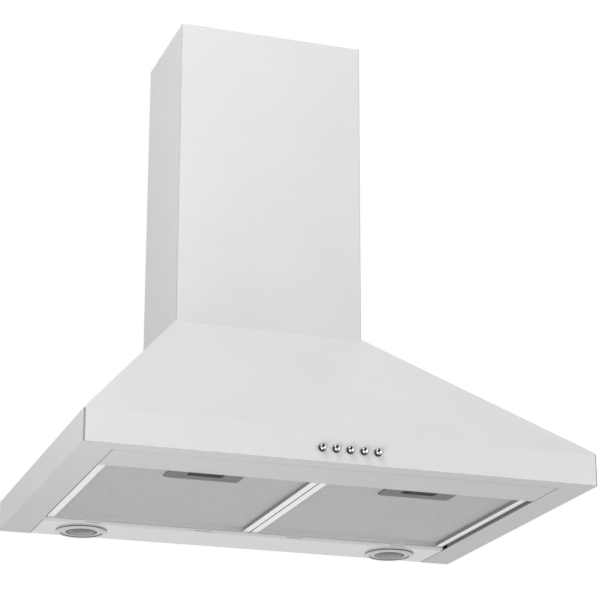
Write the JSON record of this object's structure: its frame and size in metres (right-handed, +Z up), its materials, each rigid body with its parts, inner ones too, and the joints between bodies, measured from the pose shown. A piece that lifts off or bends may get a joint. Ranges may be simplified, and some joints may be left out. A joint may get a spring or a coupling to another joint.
{
  "type": "chimney range hood",
  "caption": "Wall-mounted pyramid hood with telescopic chimney, drop-down grease filters, lamps, push buttons, scroll blower and non-return flaps.",
  "frame": {"origin": "midway between the centres of the two hanging keyholes, on the wall plane", "axes": "+X to the right as seen from in front, +Y into the wall, +Z up; the front faces -Y"},
  "size_m": [0.6, 0.456, 0.654],
  "materials": {
    "white_enamel": "satin baked enamel",
    "galvanised_sheet": "galvanised",
    "zinc_fixings": "zinc plated",
    "steel_bar": "ground",
    "spring_steel": "oiled",
    "filter_frame": "satin anodised",
    "filter_mesh": "expanded mesh, dull",
    "capacitor_can": "plain drawn",
    "latch_plastic": "fine matt",
    "housing_plastic": "moulded matt",
    "impeller_plastic": "moulded matt",
    "black_plastic": "moulded matt",
    "box_plastic": "moulded matt",
    "button_chrome": "polished",
    "lamp_white": "white, satin gloss",
    "lamp_glass": "frosted"
  },
  "bodies": {
    "canopy": {"canopy_shell": "white_enamel", "back_panel": "galvanised_sheet", "back_panel_rivets": "zinc_fixings", "front_panel": "white_enamel", "front_panel_nuts": "zinc_fixings", "light_bar": "white_enamel", "light_bar_nuts": "zinc_fixings", "switch_block": "black_plastic", "switch_bracket": "galvanised_sheet", "blower_deck": "galvanised_sheet", "deck_screws": "zinc_fixings", "blower_housing_left": "housing_plastic", "blower_housing_right": "housing_plastic", "housing_screws": "zinc_fixings", "motor": "steel_bar", "motor_bracket": "galvanised_sheet", "motor_screws": "zinc_fixings", "inlet_grille_left": "housing_plastic", "inlet_grille_right": "housing_plastic", "outlet_collar": "housing_plastic", "collar_screws": "zinc_fixings", "flap_pin": "steel_bar", "capacitor": "capacitor_can", "capacitor_clamp": "galvanised_sheet", "terminal_box": "box_plastic", "cable_gland": "black_plastic", "chimney_lower": "white_enamel", "chimney_screws": "zinc_fixings", "lamp_ring_left": "lamp_white", "lamp_lens_left": "lamp_glass", "lamp_housing_left": "galvanised_sheet", "lamp_bulb_left": "lamp_glass", "lamp_ring_right": "lamp_white", "lamp_lens_right": "lamp_glass", "lamp_housing_right": "galvanised_sheet", "lamp_bulb_right": "lamp_glass"},
    "fan": {"impeller": "impeller_plastic", "motor_shaft": "steel_bar", "impeller_clip": "steel_bar"},
    "flap_front": {"flap_front": "housing_plastic"},
    "flap_rear": {"flap_rear": "housing_plastic"},
    "upper_chimney": {"chimney_upper": "white_enamel", "chimney_bracket": "galvanised_sheet", "chimney_bracket_screws": "zinc_fixings"},
    "filter_left": {"filter_frame_left": "filter_frame", "filter_mesh_left": "filter_mesh", "latch_plate_left": "latch_plastic", "latch_spring_left": "spring_steel"},
    "latch_left": {"latch_slider_left": "latch_plastic"},
    "filter_right": {"filter_frame_right": "filter_frame", "filter_mesh_right": "filter_mesh", "latch_plate_right": "latch_plastic", "latch_spring_right": "spring_steel"},
    "latch_right": {"latch_slider_right": "latch_plastic"},
    "button_1": {"button_1": "button_chrome"},
    "button_2": {"button_2": "button_chrome"},
    "button_3": {"button_3": "button_chrome"},
    "button_4": {"button_4": "button_chrome"},
    "button_5": {"button_5": "button_chrome"}
  },
  "joints": [
    {"name": "fan_spin", "type": "hinge", "parent": "canopy", "child": "fan", "pos_m": [0, -0.14, -0.06983], "axis": [1, 0, 0], "continuous": true},
    {"name": "flap_front_lift", "type": "hinge", "parent": "canopy", "child": "flap_front", "pos_m": [0, -0.079, 0.0692], "axis": [-1, 0, 0], "range_deg": [0, 75]},
    {"name": "flap_rear_lift", "type": "hinge", "parent": "canopy", "child": "flap_rear", "pos_m": [0, -0.079, 0.0692], "axis": [1, 0, 0], "range_deg": [0, 75]},
    {"name": "chimney_extend", "type": "slide", "parent": "canopy", "child": "upper_chimney", "axis": [0, 0, 1], "range_m": [0, 0.32]},
    {"name": "filter_left_drop", "type": "hinge", "parent": "canopy", "child": "filter_left", "pos_m": [0, -0.081, -0.1921], "axis": [1, 0, 0], "range_deg": [0, 75]},
    {"name": "latch_left_pull", "type": "slide", "parent": "filter_left", "child": "latch_left", "axis": [0, 1, 0], "range_m": [0, 0.007], "stiffness_N_per_m": 150, "springref_m": -0.003, "deforming": ["latch_spring_left"]},
    {"name": "filter_right_drop", "type": "hinge", "parent": "canopy", "child": "filter_right", "pos_m": [0, -0.081, -0.1921], "axis": [1, 0, 0], "range_deg": [0, 75]},
    {"name": "latch_right_pull", "type": "slide", "parent": "filter_right", "child": "latch_right", "axis": [0, 1, 0], "range_m": [0, 0.007], "stiffness_N_per_m": 150, "springref_m": -0.003, "deforming": ["latch_spring_right"]},
    {"name": "button_1_press", "type": "slide", "parent": "canopy", "child": "button_1", "axis": [0, 1, 0], "range_m": [0, 0.004], "stiffness_N_per_m": 400, "springref_m": -0.002},
    {"name": "button_2_press", "type": "slide", "parent": "canopy", "child": "button_2", "axis": [0, 1, 0], "range_m": [0, 0.004], "stiffness_N_per_m": 400, "springref_m": -0.002},
    {"name": "button_3_press", "type": "slide", "parent": "canopy", "child": "button_3", "axis": [0, 1, 0], "range_m": [0, 0.004], "stiffness_N_per_m": 400, "springref_m": -0.002},
    {"name": "button_4_press", "type": "slide", "parent": "canopy", "child": "button_4", "axis": [0, 1, 0], "range_m": [0, 0.004], "stiffness_N_per_m": 400, "springref_m": -0.002},
    {"name": "button_5_press", "type": "slide", "parent": "canopy", "child": "button_5", "axis": [0, 1, 0], "range_m": [0, 0.004], "stiffness_N_per_m": 400, "springref_m": -0.002}
  ]
}
